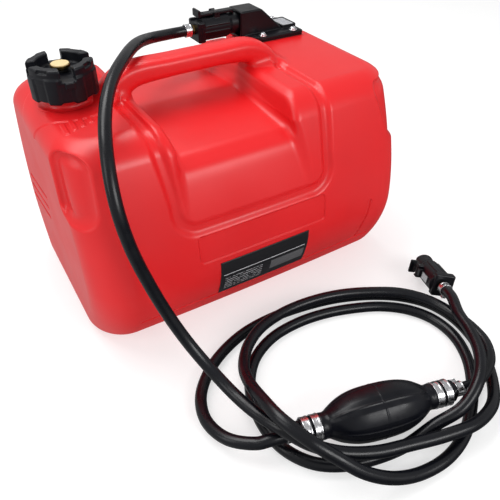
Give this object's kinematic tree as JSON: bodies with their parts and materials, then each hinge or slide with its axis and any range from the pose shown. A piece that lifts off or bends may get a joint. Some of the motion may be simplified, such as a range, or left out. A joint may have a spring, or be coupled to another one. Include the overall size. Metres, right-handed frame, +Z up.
{
  "type": "portable outboard fuel tank",
  "caption": "Red portable boat fuel tank with carry handle, vented screw cap, gauge fitting, and a black hose with primer bulb, clamps and quick connectors.",
  "frame": {"origin": "on the ground under the middle of the tank", "axes": "+X along the tank, from the filler cap to the fuel fitting; +Y from the front face, which has the label, to the back; +Z up"},
  "size_m": [0.3725, 0.5047, 0.2572],
  "materials": {
    "red_shell": "semi-gloss moulded polyethylene",
    "sticker": "printed film",
    "black_plastic": "satin moulded nylon",
    "seal_rubber": "smooth",
    "bulb_rubber": "satin with moulding ridges",
    "hose_rubber": "smooth satin",
    "brass": "turned",
    "steel": "bright",
    "cream_plastic": "smooth",
    "dial_white": "smooth",
    "clear_lens": "clear moulded window",
    "needle_red": "smooth",
    "strainer_grey": "fine woven mesh"
  },
  "bodies": {
    "tank": {"tank_body": "red_shell", "tank_label": "sticker", "fitting_base": "black_plastic", "pickup_tube": "black_plastic", "connector_a_body": "black_plastic", "connector_b_body": "black_plastic", "bulb_inlet_fitting": "black_plastic", "bulb_outlet_fitting": "black_plastic", "fitting_seal": "seal_rubber", "connector_a_ring": "seal_rubber", "connector_b_ring": "seal_rubber", "bulb_inlet_valve": "seal_rubber", "bulb_outlet_valve": "seal_rubber", "bulb_body": "bulb_rubber", "hose_1": "hose_rubber", "hose_2": "hose_rubber", "tank_nipple": "brass", "gauge_guide": "brass", "connector_a_barb": "brass", "connector_b_barb": "brass", "fitting_screw_1": "steel", "fitting_screw_2": "steel", "fitting_screw_3": "steel", "fitting_screw_4": "steel", "connector_a_pin": "steel", "connector_b_pin": "steel", "connector_b_spring": "steel", "bulb_inlet_band_1": "steel", "bulb_inlet_band_2": "steel", "bulb_outlet_band_1": "steel", "bulb_outlet_band_2": "steel", "hose_clamp_a": "steel", "hose_clamp_b": "steel", "hose_clamp_c": "steel", "hose_clamp_d": "steel", "gauge_dial": "dial_white", "gauge_lens": "clear_lens", "pickup_strainer": "strainer_grey"},
    "cap_carrier": {"cap_seal": "seal_rubber"},
    "cap": {"cap_shell": "black_plastic"},
    "vent_carrier": {"vent_ring": "seal_rubber"},
    "vent": {"vent_screw": "brass", "vent_disc": "cream_plastic"},
    "lever_a": {"connector_a_lever": "black_plastic"},
    "lever_b": {"connector_b_lever": "black_plastic"},
    "float": {"gauge_float": "seal_rubber"},
    "needle": {"gauge_pointer": "needle_red"},
    "poppet_a": {"connector_a_poppet": "brass"},
    "poppet_b": {"connector_b_poppet": "brass"}
  },
  "joints": [
    {"name": "cap_lift", "type": "slide", "parent": "tank", "child": "cap_carrier", "axis": [0, 0, 1], "range_m": [0, 0.012]},
    {"name": "cap_turn", "type": "hinge", "parent": "cap_carrier", "child": "cap", "pos_m": [-0.137, 0.004, 0.24], "axis": [0, 0, 1], "range_deg": [0, 720]},
    {"name": "vent_lift", "type": "slide", "parent": "cap", "child": "vent_carrier", "axis": [0, 0, 1], "range_m": [0, 0.003]},
    {"name": "vent_turn", "type": "hinge", "parent": "vent_carrier", "child": "vent", "pos_m": [-0.137, 0.004, 0.248], "axis": [0, 0, 1], "range_deg": [0, 720]},
    {"name": "lever_a_press", "type": "hinge", "parent": "tank", "child": "lever_a", "pos_m": [0.0505, 0.069, 0.2492], "axis": [0, -1, 0], "range_deg": [0, 12], "stiffness_Nm_per_rad": 0.5, "springref_deg": -8.59},
    {"name": "lever_b_press", "type": "hinge", "parent": "tank", "child": "lever_b", "pos_m": [0.16082, -0.19137, 0.02083], "axis": [-0.287, -0.1752, -0.9418], "range_deg": [0, 12], "stiffness_Nm_per_rad": 0.5, "springref_deg": -8.59},
    {"name": "float_rise", "type": "slide", "parent": "tank", "child": "float", "axis": [0, 0, 1], "range_m": [0, 0.17]},
    {"name": "needle_turn", "type": "hinge", "parent": "tank", "child": "needle", "pos_m": [0.137, 0.069, 0.2236], "axis": [0, 0, 1], "range_deg": [0, 80]},
    {"name": "poppet_a_press", "type": "slide", "parent": "tank", "child": "poppet_a", "axis": [-1, 0, 0], "range_m": [0, 0.0015], "stiffness_N_per_m": 300, "springref_m": -0.01},
    {"name": "poppet_b_press", "type": "slide", "parent": "tank", "child": "poppet_b", "axis": [-0.4416, -0.8483, 0.2924], "range_m": [0, 0.003], "stiffness_N_per_m": 300, "springref_m": -0.01}
  ],
  "couplings": [
    {"joint": "cap_turn", "follows": "cap_lift", "rad_per_m": 1047.2},
    {"joint": "vent_turn", "follows": "vent_lift", "rad_per_m": 4188.8},
    {"joint": "needle_turn", "follows": "float_rise", "rad_per_m": 8.213}
  ]
}
